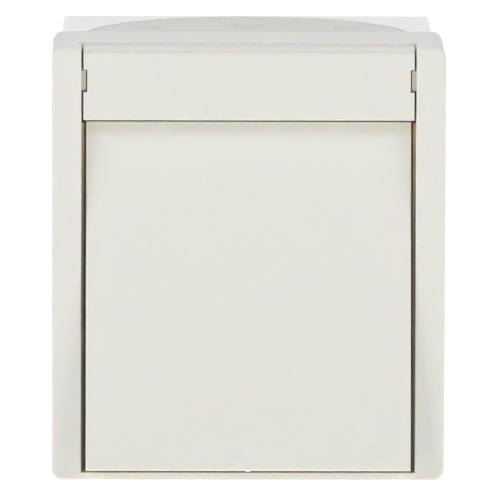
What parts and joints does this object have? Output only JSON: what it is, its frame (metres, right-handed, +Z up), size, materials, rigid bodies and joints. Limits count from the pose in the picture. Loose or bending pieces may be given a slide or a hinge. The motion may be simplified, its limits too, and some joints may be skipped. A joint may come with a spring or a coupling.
{
  "type": "rocker push button switch",
  "caption": "Splash-proof surface-mounted wall switch: one sprung rocker push button under a clip-in top bar, on a base box with a half-round cable seal.",
  "frame": {"origin": "centre of the base's wall face", "axes": "+X to the right and +Z up as seen from the front, +Y into the wall; the front faces -Y"},
  "size_m": [0.066, 0.055, 0.0732],
  "materials": {
    "cover_plastic": "cream moulded plastic, fine satin",
    "bar_plastic": "cream moulded plastic, fine satin",
    "rocker_plastic": "cream moulded plastic, fine satin",
    "base_plastic": "cream moulded plastic, satin",
    "seal_rubber": "pale soft seal, matt",
    "gasket_rubber": "black rubber, matt",
    "plunger_plastic": "natural nylon",
    "socket_plastic": "pale thermoset, matt",
    "lid_plastic": "dark grey thermoplastic, matt",
    "zinc_steel": "zinc plated",
    "axle_steel": "bright drawn steel",
    "spring_steel": "spring wire",
    "contact_bronze": "phosphor bronze strip",
    "contact_silver": "silver alloy rivet",
    "terminal_brass": "bright brass"
  },
  "bodies": {
    "housing": {"base_box": "base_plastic", "cable_entry_seal": "seal_rubber", "housing_gasket": "gasket_rubber", "front_cover": "cover_plastic", "cover_screws": "zinc_steel", "top_bar": "bar_plastic", "rocker_axle": "axle_steel", "plunger_seal": "gasket_rubber", "return_spring": "spring_steel", "fixed_contacts": "contact_silver", "terminal_strip_left": "terminal_brass", "terminal_strip_right": "terminal_brass", "terminal_clamps": "zinc_steel", "terminal_screws": "zinc_steel", "switch_socket": "socket_plastic", "socket_lid": "lid_plastic", "lid_screws": "zinc_steel", "socket_screws": "zinc_steel", "earth_terminal": "terminal_brass", "earth_terminal_screws": "zinc_steel"},
    "rocker": {"rocker": "rocker_plastic"},
    "plunger": {"plunger": "plunger_plastic"},
    "bridge": {"contact_bridge": "contact_bronze", "moving_contacts": "contact_silver", "contact_spring": "spring_steel"}
  },
  "joints": [
    {"name": "rocker_press", "type": "hinge", "parent": "housing", "child": "rocker", "pos_m": [0, -0.044, 0.0015], "axis": [1, 0, 0], "range_deg": [0, 6], "stiffness_Nm_per_rad": 0.25, "springref_deg": -14.32},
    {"name": "plunger_slide", "type": "slide", "parent": "housing", "child": "plunger", "axis": [0, 1, 0], "range_m": [0, 0.0018], "deforming": ["return_spring"]},
    {"name": "bridge_slide", "type": "slide", "parent": "housing", "child": "bridge", "axis": [0, 1, 0], "range_m": [0, 0.0013], "deforming": ["contact_spring"]}
  ],
  "couplings": [
    {"joint": "plunger_slide", "follows": "rocker_press", "m_per_rad": 0.0156},
    {"joint": "bridge_slide", "follows": "rocker_press", "m_per_rad": 0.011}
  ]
}
